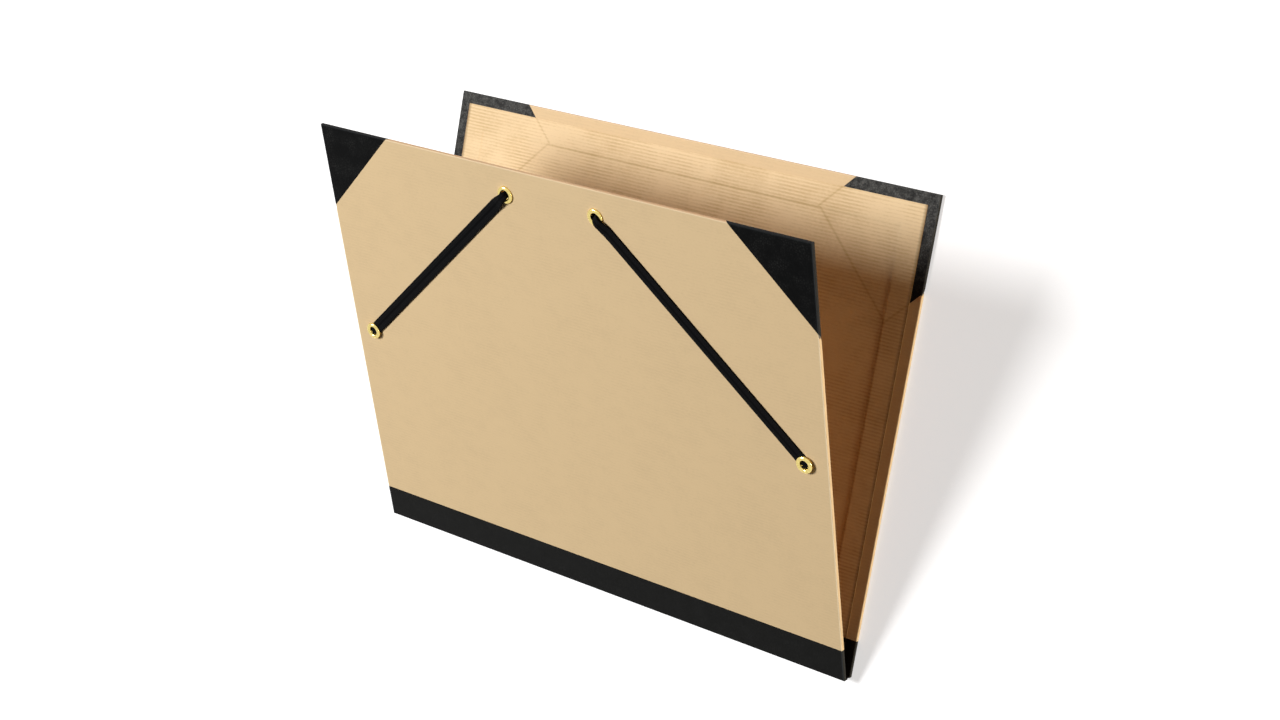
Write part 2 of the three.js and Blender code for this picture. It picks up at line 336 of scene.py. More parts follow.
def thickened(obj, thickness):
    """Gives a sheet its thickness, inwards from its outward face, with crisp cut edges."""
    wall = obj.modifiers.new("thickness", "SOLIDIFY")
    wall.thickness = thickness
    wall.offset = -1
    wall.use_rim = True
    finished(obj)
    obj.data.set_sharp_from_angle(angle=CRISP)
    return obj


def move(obj, place):
    """Carries a piece from a cover's frame into the row frame."""
    co = np.empty(len(obj.data.vertices) * 3)
    obj.data.vertices.foreach_get("co", co)
    obj.data.vertices.foreach_set("co", place(co.reshape(-1, 3)).reshape(-1))
    obj.data.update()


def dress(obj, body, slot, material, *nodes):
    """Finish, body and the CAD nodes that a piece stands for. The slot argument is not used."""
    obj.data.materials.clear()
    obj.data.materials.append(material)
    if body:
        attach(obj, body)
    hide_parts(*nodes)
    return obj


# ---------------------------------------------------------------- kraft, corners, linings


def turned_in(p, q, c):
    """1 on the folded-in margins, 0 on the outer face, changing over the second bend."""
    mark = np.zeros(np.broadcast(p, q).shape)
    for s, edge in ((np.abs(p), c.half_length), (q, c.height)):
        _, _, second, inner, _ = fold_marks(edge, c.depth, c.fold_radius, 0)
        mark = np.maximum(mark, np.clip((s - second) / (inner - second), 0, 1))
    return mark


def near_fold(p, q, c, reach):
    """1 on a side fold's wall and bends and less on the top's, falling off within reach of them. The
    mark carries a painted highlight, stronger on the side walls, which the light strikes, than on the
    top.
    """
    mark = np.zeros(np.broadcast(p, q).shape)
    # The painted highlight is full on the side folds and about a third as strong on the top's
    for s, edge, fold_share in ((np.abs(p), c.half_length, 1.0), (q, c.height, 0.35)):
        first, _, _, inner, _ = fold_marks(edge, c.depth, c.fold_radius, 0)
        away = np.maximum(np.maximum(first - s, s - inner), 0)
        mark = np.maximum(mark, fold_share * np.exp(-((away / reach) ** 2)))
    return mark


def cut_line(c):
    """Sum of the two flat coordinates along the straight cut between kraft and corner cloth."""
    return c.half_length + c.height - c.corner_leg


def to_bend(start, bend, coarse):
    """Spans up to a bend: coarse steps and then finer ones close beside it."""
    beside, by = bend - BESIDE, bend - BY_BEND
    return [(start, beside, coarse), (beside, by, 2), (by, bend, 1)]


def kraft_sheet(name, c, bottom, holes):
    """The flat net is a rectangle with two corners cut off at half a right angle: every row runs
    from minus to plus the smaller of the full width and the cut line less the row's height."""
    side = fold_marks(c.half_length, c.depth, c.fold_radius, c.turn_in)
    top = fold_marks(c.height, c.depth, c.fold_radius, c.turn_in)
    e = bpy.context.scene.portfolio_eyelet
    around = 4 * MM

    def spans(marks, start, coarse, centres):
        bend, wall, second, inner, end = marks
        return [
            *to_bend(start, bend, coarse), (bend, wall, 5), (wall, second, 2), (second, inner, 5),
            (inner, inner + BY_BEND, 1), (inner + BY_BEND, inner + BESIDE, 2),
            (inner + BESIDE, end, 8), *((m - around, m + around, 14) for m in centres),
        ]

    half = samples(*spans(side, 0, 22, (e.lower_x, e.upper_x) if holes else ()))
    columns = np.concatenate([-half[:0:-1], half])
    rows = samples(*spans(top, bottom, 60, (e.lower_y, e.upper_y) if holes else ()))
    q = np.repeat(rows[:, None], len(columns), 1)
    limit = np.minimum(side[4], cut_line(c) - c.seam * math.sqrt(2) - q)
    p = np.clip(columns[None, :], -limit, limit)
    points, inside = opened(sheet_on_cover(p, q, c), holes, e.barrel + HOLE_SLACK)
    # The fold mark places the painted highlight along the kraft's folds
    marks = {"fold": near_fold(p, q, c, 0.25 * MM)}
    return grid_object(name, points, np.stack([p, q], -1), marks, inside, flip=True)


def corner_sheet(name, c, side):
    """The flat net beyond the cut line: rows run from the cut line to the side's turn-in. Up to the
    first bend at the top the turn-in stops at the mitre; beyond it the row stops at the mitre of
    the top's turn-in, so both strips meet in one welded seam. The turned-in cloth is marked for a
    painted sheen, which fades from fade_top down to fade_foot into painted shade, where the covers
    shade each other."""
    fade_top, fade_foot, faded = 0.240, 0.205, 0.15
    across = fold_marks(c.half_length, c.depth, c.fold_radius, c.turn_in)
    up = fold_marks(c.height, c.depth, c.fold_radius, c.turn_in)
    strip = across[4] - across[2]
    bend = across[3] - across[2]
    past = samples((0, bend, 6), (bend, bend + BY_BEND, 1), (bend + BY_BEND, bend + BESIDE, 2),
                   (bend + BESIDE, strip, 24))
    wall = samples((0, across[2] - across[1], 3))
    low = cut_line(c) - up[4]

    def marks_of(m, start, count):
        return np.unique(np.round(np.concatenate([
            np.linspace(start, m[1] - strip, count), m[1] - past, m[1] + wall, m[2] + past
        ]), 9))

    columns = marks_of(across, low, 40)
    rows = marks_of(up, cut_line(c) - across[4], 40)
    q = np.repeat(rows[:, None], len(columns), 1)
    side_stop = np.minimum(across[4], across[2] + (up[1] - q))
    top_stop = across[1] - np.maximum(q - up[2], 0)
    stop = np.where(q <= up[1] + WELD, side_stop, top_stop)
    start = np.minimum(cut_line(c) - q, stop)
    p = np.clip(columns[None, :], start, stop)
    points = sheet_on_cover(p, q, c)
    points[..., 0] *= side
    uv = np.stack([side * p, q], -1)
    # The fold mark places the painted highlight on the cloth's folds; the inner mark places a painted
    # sheen on the turned-in cloth, fading into painted shade towards the foot, where the covers shade
    # each other
    painted_sheen_fade = np.clip((points[..., 1] - fade_foot) / (fade_top - fade_foot), faded, 1)
    marks = {"fold": near_fold(p, q, c, 0.3 * MM), "inner": turned_in(p, q, c) * painted_sheen_fade}
    return grid_object(name, points, uv, marks, flip=side > 0)


def lining_level(x, y, c, l):
    """Height of the lining: it steps down along the inner edge of the folded-in margin, dips over
    the slanted seam between kraft and cloth, swells a little in the middle, and carries the paper's
    ribs as a cosine across the rows."""
    inward = np.maximum(np.abs(x) - (c.half_length - c.turn_in), y - (c.height - c.turn_in))
    t = np.clip(inward / l.step + 0.5, 0, 1)
    level = l.level - l.sink * (1 - t * t * (3 - 2 * t))
    diagonal, leg = y - np.abs(x) - (c.height - c.half_length), c.corner_leg + c.depth
    seam = np.minimum(np.abs(diagonal - leg), np.abs(diagonal + leg)) / math.sqrt(2)
    seam = np.where(inward > 0, seam, 1)
    dip = 0.05 * MM * np.exp(-((seam / (0.6 * MM)) ** 2))
    swell = 0.04 * MM * np.sin(x * 47 + 1.3) * np.sin(y * 61 + x * 19)
    ribs = c.rib_height * 0.5 * (np.cos(2 * math.pi * y / c.rib_pitch) - 1)
    return level - dip + swell * np.clip(-inward / 0.01, 0, 1) + ribs


def lining_sheet(name, c, l, cloth_height, holes):
    """A level surface over the rectangle inside the margins."""
    e = bpy.context.scene.portfolio_eyelet
    side = c.half_length - l.margin
    inner, near, around = c.half_length - c.turn_in, 1 * MM, 3.6 * MM
    slant = (0.085, 0.108)  # where the seam between kraft and cloth crosses the upper margin
    spans = [(0, slant[0], 6), (*slant, 22), (slant[1], inner - near, 3)]
    spans += [(inner - near, inner + near, 4), (inner + near, side, 6)]
    if holes:
        spans += [(x - around, x + around, 8) for x in (e.lower_x, e.upper_x)]
    half = samples(*spans)
    columns = np.concatenate([-half[:0:-1], half])
    bottom = cloth_height + c.seam
    top = c.height - l.margin
    steps = int(round((top - bottom) / c.rib_pitch * 3))
    rows = np.linspace(bottom, top, steps + 1)
    x, y = np.meshgrid(columns, rows)
    points = np.stack([x, y, lining_level(x, y, c, l)], -1)
    points, inside = opened(points, holes, e.barrel + HOLE_SLACK)
    edge = np.minimum(side - np.abs(x), y - bottom)
    marks = {"fold": np.exp(-((edge / (0.25 * MM)) ** 2))}
    return grid_object(name, points, np.stack([x, y], -1), marks, inside)


# ---------------------------------------------------------------- spine cloth


def hermite(t, p0, p1, t0, t1):
    """Cubic between two points with given tangents, at shares t of the way from 0 to 1."""
    return (
        (2 * t**3 - 3 * t**2 + 1) * p0
        + (t**3 - 2 * t**2 + t) * t0
        + (3 * t**2 - 2 * t**3) * p1
        + (t**3 - t**2) * t1
    )


def shares(count):
    return np.linspace(0, 1, count + 1)[:, None]


def foot_frame(place, y, z):
    """A point of a cover's foot in the row frame's upright plane."""
    return place(np.array([[0.0, y, z]]))[0, 1:]


def spine_path(c, cloth):
    """The outer cloth's line seen from its end: down the back cover's outer face, round its foot,
    over the web, round the front cover's foot and up its outer face. Returns the points, their
    inward directions and how much of the full depth a fold has there."""
    r, pull = c.fold_radius, 3.4 * MM
    bend = np.linspace(0, math.pi / 2, 7)
    down = samples((r, r + BY_BEND, 1), (r + BY_BEND, cloth.height, 12))[::-1]
    leg = np.concatenate([
        np.stack([down, np.zeros_like(down)], -1),
        np.stack([r - r * np.sin(bend[1:]), r - r * np.cos(bend[1:])], -1),
        np.stack([np.zeros(3), np.linspace(r, c.depth - 0.15 * MM, 4)[1:]], -1),
    ])
    lift = lambda place: np.array([foot_frame(place, y, z) for y, z in leg])
    back, front = lift(on_back), lift(on_front)[::-1]
    inward_back = np.array([0.0, 1.0])
    inward_front = foot_frame(on_front, 0, 1) - foot_frame(on_front, 0, 0)
    down_front = foot_frame(on_front, -1, 0) - foot_frame(on_front, 0, 0)
    web = hermite(shares(16), back[-1], front[0], pull * np.array([-0.25, 1.0]),
                  pull * (-inward_front + 0.25 * down_front))[1:-1]
    line = np.concatenate([back, web, front])
    share = np.concatenate([np.ones(len(back)), np.zeros(len(web)), np.ones(len(front))])
    share[len(back) - 3 : len(back)] = [0.6, 0.3, 0.0]
    share[-len(front) : -len(front) + 3] = [0.0, 0.3, 0.6]
    across = np.linspace(0, 1, len(web) + 2)[1:-1]
    mix = np.concatenate([np.zeros(len(back)), across, np.ones(len(front))])
    inward = (1 - mix)[:, None] * inward_back + mix[:, None] * inward_front
    middle = -4 * mix * (1 - mix)
    outward = np.array([math.cos(OPEN_ANGLE / 2), -math.sin(OPEN_ANGLE / 2)])
    inward = inward + middle[:, None] * outward * 0.9
    inward /= np.linalg.norm(inward, axis=1)[:, None]
    return line, inward, share


def spine_sheet(name, c, cloth):
    """The spine's line carried along x, with both ends folded in round the covers' side edges. The
    fold is as deep as the cover on the boards and as deep as the doubled cloth over the web."""
    line, inward, share = spine_path(c, cloth)
    first, wall, second, inner, end = fold_marks(c.half_length, c.depth, c.fold_radius, c.turn_in)
    half = samples(*to_bend(0, first, 24), (first, wall, 5), (wall, second, 3), (second, inner, 5),
                   (inner, inner + BY_BEND, 1), (inner + BY_BEND, end, 6))
    columns = np.concatenate([-half[:0:-1], half])
    x, level = folded(columns, c.half_length, c.depth, c.fold_radius)
    scale = (share + (1 - share) * cloth.web_fold / c.depth)[:, None]
    depth = level[None, :] * scale
    yz = line[:, None, :] + inward[:, None, :] * depth[..., None]
    points = np.concatenate([np.broadcast_to(x, depth.shape)[..., None], yz], -1)
    walk = np.concatenate([[0], np.cumsum(np.linalg.norm(np.diff(line, axis=0), axis=1))])
    uv = np.stack(np.broadcast_arrays(columns[None, :], walk[:, None]), -1)
    # The spine cloth's folds round the side edges carry the painted highlight
    away = np.maximum(np.maximum(first - np.abs(columns), np.abs(columns) - inner), 0)
    fold = np.broadcast_to(np.exp(-((away / (0.45 * MM)) ** 2)), depth.shape) * share[:, None]
    return grid_object(name, points, uv, {"fold": fold}, flip=True)


def hinge_sheet(name, c, cloth, l):
    """The inner cloth's line, up the back cover's inner face, round the fold and up the front's,
    carried along x between the margins."""
    start, reach = 1.5 * MM, 3.0 * MM
    legs = samples((start, cloth.height, 12))
    back = np.array([foot_frame(on_back, y, l.level) for y in legs[::-1]])
    front = np.array([foot_frame(on_front, y, l.level) for y in legs])
    up_front = foot_frame(on_front, 1, 0) - foot_frame(on_front, 0, 0)
    turn = hermite(shares(14), back[-1], front[0], reach * np.array([1.0, 0.0]), reach * up_front)
    line = np.concatenate([back, turn[1:-1], front])
    side = c.half_length - l.margin
    columns = np.linspace(-side, side, 61)
    x = np.broadcast_to(columns[None, :], (len(line), len(columns)))
    yz = np.broadcast_to(line[:, None, :], (*x.shape, 2))
    walk = np.concatenate([[0], np.cumsum(np.linalg.norm(np.diff(line, axis=0), axis=1))])
    uv = np.stack(np.broadcast_arrays(x, walk[:, None]), -1)
    points = np.concatenate([x[..., None], yz], -1)
    return grid_object(name, points, uv, {"fold": np.zeros(x.shape)})


# ---------------------------------------------------------------- eyelets


def eyelet_profile(e, seat, lining_top):
    """Half section of an eyelet, radius and level: a domed flange that starts in a thin lip, falls
    in a funnel to the bore, the bore's wall, and the far end rolled over on the lining."""
    lip = 0.12 * MM
    turn = np.linspace(0, math.pi, 25)
    middle, reach = (e.flange + e.bore) / 2, (e.flange - e.bore) / 2
    dome = np.stack([middle + reach * np.sign(np.cos(turn)) * np.abs(np.cos(turn)) ** 0.86,
                     seat - lip - (e.flange_height - lip) * np.sin(turn) ** 0.8], -1)
    turn = np.linspace(math.pi, 0, 15)
    middle, reach = (e.roll + e.bore) / 2, (e.roll - e.bore) / 2
    roll = np.stack([middle + reach * np.cos(turn), lining_top + e.roll_height * np.sin(turn)], -1)
    bore = np.stack([np.full(6, e.bore), np.linspace(dome[-1, 1], roll[0, 1], 8)[1:-1]], -1)
    shank = np.array([[e.barrel, lining_top], [e.barrel, seat],
                      [e.flange - lip / 2, seat], [e.flange, seat - 0.05 * MM]])
    return np.concatenate([dome, bore, roll, shank])


def eyelet(name, e, place, at, seat, lining_top, petals):
    """The half section turned about the bore's axis. The rolled end is split into lobes by a cosine
    of the angle, which fades out towards the bore. An empty bore narrows to as many petals."""
    lobe_count, lobe_depth, petal_depth = 6, 0.45 * MM, 1.6 * MM
    profile = eyelet_profile(e, seat, lining_top)
    around = np.linspace(0, 2 * math.pi, 97)[:-1]
    radius = np.repeat(profile[:, :1], len(around), 1)
    level = np.repeat(profile[:, 1:], len(around), 1)
    rolled = np.clip((radius - e.barrel) / (e.roll - e.barrel), 0, 1) * (level > 1 * MM)
    wave = np.cos(lobe_count * around)
    wall = (radius < e.bore + 1e-6) * np.clip((level + 1.2 * MM) / (1.6 * MM), 0, 1) * petals
    radius = radius - rolled * lobe_depth * np.maximum(0, wave) ** 8
    radius = radius - wall * petal_depth * (0.62 - 0.38 * wave)
    points = np.stack([at[0] + radius * np.cos(around), at[1] + radius * np.sin(around), level], -1)
    walk = np.concatenate([[0], np.cumsum(np.linalg.norm(np.diff(profile, axis=0), axis=1))])
    uv = np.stack(np.broadcast_arrays(around[None, :] * e.flange, walk[:, None]), -1)
    return grid_object(name, place(points), uv, closed=(True, True), flip=True)


# ---------------------------------------------------------------- elastic


def elastic_route(e):
    """One half of the elastic, from its riveted end on the front to the middle of its run inside,
    in the front cover's frame. Columns: centre x, y, z, direction across x, y, half width, half
    thickness. The tables are in millimetres and start with the distance from the upper eyelet."""
    lower, upper = np.array([e.lower_x, e.lower_y]), np.array([e.upper_x, e.upper_y])
    slant = upper - lower
    whole = np.linalg.norm(slant)
    slant /= whole
    across = np.array([-slant[1], slant[0]])
    on_face, over_flange, over_roll, inside = -0.55, -1.26, 2.86, 2.76
    front = np.array([
        [whole / MM + 3.3, on_face, 3.5, 0.50], [whole / MM - 4.9, on_face, 3.5, 0.50],
        [110, on_face, 3.5, 0.50], [60, on_face, 3.5, 0.50], [30, on_face, 3.5, 0.50],
        [16, on_face, 3.5, 0.50], [10, on_face - 0.15, 3.5, 0.50], [7.4, on_face - 0.75, 3.2, 0.50],
        [5.4, over_flange - 0.35, 2.9, 0.60], [3.7, over_flange - 0.78, 2.6, 0.72],
        [2.2, over_flange - 0.60, 2.35, 0.85], [0.9, over_flange + 0.10, 2.2, 0.90],
        [0.2, over_flange + 1.20, 2.0, 0.90],
    ]) * MM
    rows = [[*(upper - slant * d), z, *across, w, t] for d, z, w, t in front]
    straight = np.array([0.0, np.sign(across[1])])
    for turn in (0.35, 0.7, 1.0):
        towards = (1 - turn) * across + turn * straight
        level = (over_flange + 1.20 + turn * (over_roll - over_flange - 2.0)) * MM
        rows.append([*upper, level, *(towards / np.linalg.norm(towards)), 2.0 * MM, 0.90 * MM])
    back = np.array([
        [0.5, over_roll + 0.05, 2.1, 0.75], [1.7, over_roll + 0.42, 2.4, 0.55],
        [3.4, over_roll + 0.46, 2.8, 0.45], [5.2, inside + 0.20, 3.2, 0.45],
        [8.0, inside, 3.5, 0.45], [18.0, inside, 3.5, 0.45], [e.upper_x / MM, inside, 3.5, 0.45],
    ]) * MM
    rows += [[upper[0] - d, upper[1], z, *straight, w, t] for d, z, w, t in back]
    return np.array(rows)


def smooth_through(rows, step):
    """Values along a route at even steps: a cubic through each pair of stations whose slopes are
    those of its neighbours, limited so that it never overshoots."""
    gaps = np.maximum(np.linalg.norm(np.diff(rows[:, :3], axis=0), axis=1), 1e-6)
    s = np.concatenate([[0], np.cumsum(gaps)])
    slope = np.diff(rows, axis=0) / gaps[:, None]
    left, right = slope[:-1], slope[1:]
    both = left + right
    inner = np.where(left * right > 0, 2 * left * right / np.where(both == 0, 1, both), 0)
    tangent = np.concatenate([slope[:1], inner, slope[-1:]])
    at = np.linspace(0, s[-1], int(round(s[-1] / step)) + 1)
    i = np.clip(np.searchsorted(s, at, side="right") - 1, 0, len(gaps) - 1)
    t = ((at - s[i]) / gaps[i])[:, None]
    g = gaps[i][:, None]
    return at, hermite(t, rows[i], rows[i + 1], g * tangent[i], g * tangent[i + 1])


def strap(name, e, k):
    """A flat rounded section carried along the route. Its two faces swell in one arch for each
    cord, and a cosine, slanted one way and the other from cord to cord, gives the braid."""
    count = 64
    half = elastic_route(e)
    mirror = half[::-1][1:] * np.array([-1, 1, 1, 1, -1, 1, 1])
    at, rows = smooth_through(np.concatenate([half, mirror]), k.step)
    centre, across = rows[:, :3], np.concatenate([rows[:, 3:5], np.zeros((len(rows), 1))], 1)
    along = np.gradient(centre, axis=0)
    along /= np.linalg.norm(along, axis=1)[:, None]
    across = across - along * (across * along).sum(1)[:, None]
    across /= np.linalg.norm(across, axis=1)[:, None]
    outward = np.cross(along, across)
    turn = 2 * math.pi * (np.arange(count) + 0.5) / count
    flat = np.sign(np.cos(turn)) * np.abs(np.cos(turn)) ** 0.62
    high = np.sign(np.sin(turn)) * np.abs(np.sin(turn)) ** 0.38
    cord = (flat + 1) / 2 * k.ribs
    lean = np.where(np.floor(cord).astype(int) % 2 == 0, 1, -1)
    relief = k.rib_height * (np.abs(np.sin(math.pi * cord)) - 0.6)
    crossing = at[:, None] / k.braid_pitch + lean * (cord % 1) * 0.5
    braid = k.braid_height * np.cos(2 * math.pi * crossing)
    lift = (relief + braid) * np.abs(high) ** 2 * np.sign(high)
    points = (
        centre[:, None]
        + across[:, None] * (rows[:, 5:6] * flat)[..., None]
        + outward[:, None] * (rows[:, 6:7] * high + lift)[..., None]
    )
    caps = [np.repeat(points[i : i + 1].mean(1, keepdims=True), count, 1) for i in (0, -1)]
    points = np.concatenate([caps[0], points, caps[1]])
    at = np.concatenate([at[:1], at, at[-1:]])
    uv = np.stack(np.broadcast_arrays((flat * half[0, 5])[None, :], at[:, None]), -1)
    crest = np.broadcast_to(np.abs(np.sin(math.pi * cord)) * np.abs(high), uv.shape[:2])
    return grid_object(name, on_front(points), uv, {"crest": crest}, closed=(False, True))


def cut_round(obj, at, radius):
    """Takes a round hole through a piece on the front cover."""
    around = np.linspace(0, 2 * math.pi, 49)[:-1]
    rings = np.array([(0, -4), (radius / MM, -4), (radius / MM, 1.2), (0, 1.2)]) * MM
    across, level = np.repeat(rings[:, :1], 48, 1), np.repeat(rings[:, 1:], 48, 1)
    points = np.stack([at[0] + across * np.cos(around), at[1] + across * np.sin(around), level], -1)
    uv = np.zeros((*across.shape, 2))
    tool = grid_object("tool", on_front(points), uv, closed=(False, True), flip=True)
    hole = obj.modifiers.new("hole", "BOOLEAN")
    hole.operation, hole.solver, hole.object = "DIFFERENCE", "EXACT", tool
    finished(obj)
    bpy.data.objects.remove(tool)
    return obj


# ---------------------------------------------------------------- shader node groups


def socket(group, name, kind, is_input, default=None):
    s = group.interface.new_socket(name, in_out="INPUT" if is_input else "OUTPUT", socket_type=kind)
    if default is not None:
        s.default_value = default


def new_group(name, inputs, outputs):
    group = bpy.data.node_groups.new(name, "ShaderNodeTree")
    for n, kind, default in inputs:
        socket(group, n, kind, True, default)
    for n, kind in outputs:
        socket(group, n, kind, False)
    return group, group.nodes.new("NodeGroupInput"), group.nodes.new("NodeGroupOutput")


def feed(tree, node, values):
    """Sets a node's inputs: each is a link from another node's output, or a value of its own."""
    for key, value in values.items():
        target = node.inputs[key]
        if hasattr(value, "links"):
            tree.links.new(value, target)
        else:
            target.default_value = (*value, 1) if target.type == "RGBA" else value


def maths(tree):
    """The maths of one tree, named by operation."""

    def op(operation, *values, clamp=False):
        node = tree.nodes.new("ShaderNodeMath")
        node.operation, node.use_clamp = operation, clamp
        feed(tree, node, dict(enumerate(values)))
        return node.outputs[0]

    return op


def mix_colour(tree, factor, a, b):
    node = tree.nodes.new("ShaderNodeMix")
    node.data_type = "RGBA"
    feed(tree, node, {0: factor, 6: a, 7: b})
    return node.outputs[2]


def noise(tree, vector, scale, detail=3, rough=0.55, stretch=None):
    if stretch is not None:
        mapping = tree.nodes.new("ShaderNodeMapping")
        feed(tree, mapping, {"Scale": stretch, "Vector": vector})
        vector = mapping.outputs[0]
    node = tree.nodes.new("ShaderNodeTexNoise")
    feed(tree, node, {"Scale": scale, "Detail": detail, "Roughness": rough, "Vector": vector})
    return node.outputs[0]


def ramp(tree, value, low, high):
    node = tree.nodes.new("ShaderNodeMapRange")
    node.interpolation_type = "SMOOTHSTEP"
    feed(tree, node, {"From Min": low, "From Max": high, "Value": value})
    return node.outputs[0]


FINISH_OUTPUTS = [
    ("Color", "NodeSocketColor"), ("Height", "NodeSocketFloat"), ("Roughness", "NodeSocketFloat"),
]


def paper_group():
    """Paper: long fibres, soft clouds and ribs across the sheet, from its flat coordinates in
    metres. The amount of shade is the sum of each: fibres, clouds and specks are the paper's own
    tone, while the darker grooves between the ribs and the lining's creases are painted shade. A fold
    takes the fold colour, a painted highlight on the kraft and the darker cut edge on the lining."""
    group, get, put = new_group("ribbed paper", [
        ("Sheet", "NodeSocketVector", None), ("Paper", "NodeSocketColor", None),
        ("Shade", "NodeSocketColor", None), ("Fold colour", "NodeSocketColor", None),
        ("Fold", "NodeSocketFloat", 0.0), ("Rib pitch", "NodeSocketFloat", 0.0019),
        ("Rib shade", "NodeSocketFloat", 0.2), ("Cloud", "NodeSocketFloat", 0.3),
        ("Crease", "NodeSocketFloat", 0.0),
    ], FINISH_OUTPUTS)
    i, op = get.outputs, maths(group)
    fibre = noise(group, i["Sheet"], 1400, 4, 0.6, (0.35, 1.0, 1.0))
    cloud = noise(group, i["Sheet"], 22, 3, 0.5)
    patch = noise(group, i["Sheet"], 140, 2, 0.5, (0.6, 1.0, 1.0))
    speck = ramp(group, noise(group, i["Sheet"], 900, 2, 0.5, (1.0, 1.0, 1.0)), 0.70, 0.80)
    parts = group.nodes.new("ShaderNodeSeparateXYZ")
    group.links.new(i["Sheet"], parts.inputs[0])
    wobble = op("MULTIPLY", noise(group, i["Sheet"], 60, 1), 0.0004)
    turns = op("DIVIDE", op("ADD", parts.outputs["Y"], wobble), i["Rib pitch"])
    # Painted shade: darker in the grooves between the ribs, more in some patches than in others
    rib = op("MULTIPLY_ADD", op("SINE", op("MULTIPLY", turns, 2 * math.pi)), 0.5, 0.5)
    uneven_rib_shade = ramp(group, noise(group, i["Sheet"], 38, 3, 0.6), 0.30, 0.72)
    amount = op("MULTIPLY", rib, i["Rib shade"])
    amount = op("MULTIPLY", amount, op("MULTIPLY_ADD", uneven_rib_shade, 0.75, 0.25))
    amount = op("MULTIPLY_ADD", op("SUBTRACT", fibre, 0.5), 0.9, amount)
    amount = op("MULTIPLY_ADD", op("SUBTRACT", patch, 0.5), 0.5, amount)
    amount = op("ADD", amount, op("MULTIPLY", op("SUBTRACT", cloud, 0.5), i["Cloud"]))
    # Painted shade along the lining's creases
    amount = op("MULTIPLY_ADD", i["Crease"], 0.45, amount)
    amount = op("ADD", amount, op("MULTIPLY", speck, 0.25), clamp=True)
    shown = mix_colour(group, amount, i["Paper"], i["Shade"])
    # Fold colour near the folds: a painted highlight on the kraft, the darker cut edge on the lining
    fold_share = op("MULTIPLY", i["Fold"], op("MULTIPLY_ADD", patch, 0.5, 0.6), clamp=True)
    feed(group, put, {
        "Color": mix_colour(group, fold_share, shown, i["Fold colour"]),
        "Height": op("MULTIPLY_ADD", rib, -0.6, fibre),
        "Roughness": op("MULTIPLY_ADD", fibre, 0.2, 0.55),
    })
    return group


def crease_group(c):
    """Creases of the lining over what lies under it: 1 along the folded-in margin's inner edge, cut
    off at half a right angle in the corners, and along the slanted ends of the corner cloth. The
    lining darkens along them as painted shade."""
    group, get, put = new_group("lining creases", [("Sheet", "NodeSocketVector", None)],
                                [("Crease", "NodeSocketFloat")])
    op = maths(group)
    parts = group.nodes.new("ShaderNodeSeparateXYZ")
    group.links.new(get.outputs["Sheet"], parts.inputs[0])
    x, y = op("ABSOLUTE", parts.outputs["X"]), parts.outputs["Y"]
    from_side, from_top = op("SUBTRACT", c.half_length, x), op("SUBTRACT", c.height, y)
    cut = op("SUBTRACT", 2 * c.turn_in + c.corner_leg, op("ADD", from_side, from_top))
    margin = op("MAXIMUM", *(op("SUBTRACT", c.turn_in, v) for v in (from_side, from_top)))

    def line(distance, width):
        scaled = op("DIVIDE", distance, width)
        return op("EXPONENT", op("MULTIPLY", op("MULTIPLY", scaled, scaled), -1.0))

    edge = line(op("MAXIMUM", margin, op("MULTIPLY", cut, math.sqrt(0.5))), 0.0007)
    top_end = op("SUBTRACT", op("ADD", x, c.height - c.half_length + c.corner_leg + c.depth), y)
    side_end = op("SUBTRACT", op("ADD", x, c.height - c.half_length - c.corner_leg - c.depth), y)
    top_end = op("MULTIPLY", line(top_end, 0.0009), op("LESS_THAN", from_top, c.turn_in))
    side_end = op("MULTIPLY", line(side_end, 0.0009), op("LESS_THAN", from_side, c.turn_in))
    group.links.new(op("MAXIMUM", edge, op("MAXIMUM", top_end, side_end)), put.inputs["Crease"])
    return group


